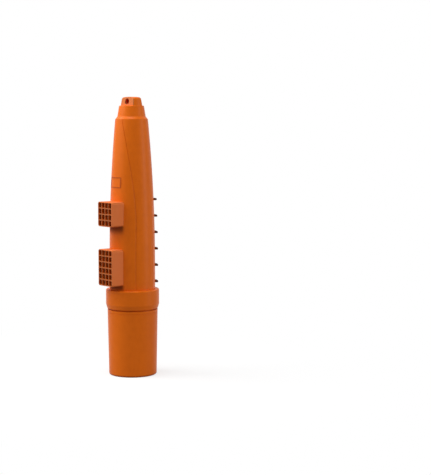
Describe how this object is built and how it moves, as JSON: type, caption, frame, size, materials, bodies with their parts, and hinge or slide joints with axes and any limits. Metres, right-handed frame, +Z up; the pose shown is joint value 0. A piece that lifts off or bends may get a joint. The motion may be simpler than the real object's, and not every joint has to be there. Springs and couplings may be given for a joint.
{
  "type": "fishing net locator buoy",
  "caption": "Slim orange moulded float that marks a net: curved hull, cored feet, rope cleats, lanyard eye on the nose and a twist plug in the open base.",
  "frame": {"origin": "centre of the mouth rim, on the surface the buoy stands on", "axes": "+Z up along the axis to the nose, -Y out through the feet, +Y out through the rope cleats"},
  "size_m": [0.096, 0.1075, 0.5013],
  "materials": {
    "orange_plastic": "satin",
    "plug_plastic": "satin",
    "battery_wrap": "wrapped"
  },
  "bodies": {
    "buoy": {"upper_shell": "orange_plastic", "coupling_collar": "orange_plastic", "base_tube": "orange_plastic", "plug_seat": "orange_plastic", "nose_cap": "orange_plastic", "foot_upper": "orange_plastic", "foot_lower": "orange_plastic", "cleat_1": "orange_plastic", "cleat_2": "orange_plastic", "cleat_3": "orange_plastic", "cleat_4": "orange_plastic", "cleat_5": "orange_plastic", "cleat_6": "orange_plastic", "battery_pack": "battery_wrap"},
    "plug": {"battery_plug": "plug_plastic"}
  },
  "joints": [
    {"name": "plug_twist", "type": "hinge", "parent": "buoy", "child": "plug", "pos_m": [0, 0, 0.0275], "axis": [0, 0, -1], "range_deg": [0, 90]}
  ]
}
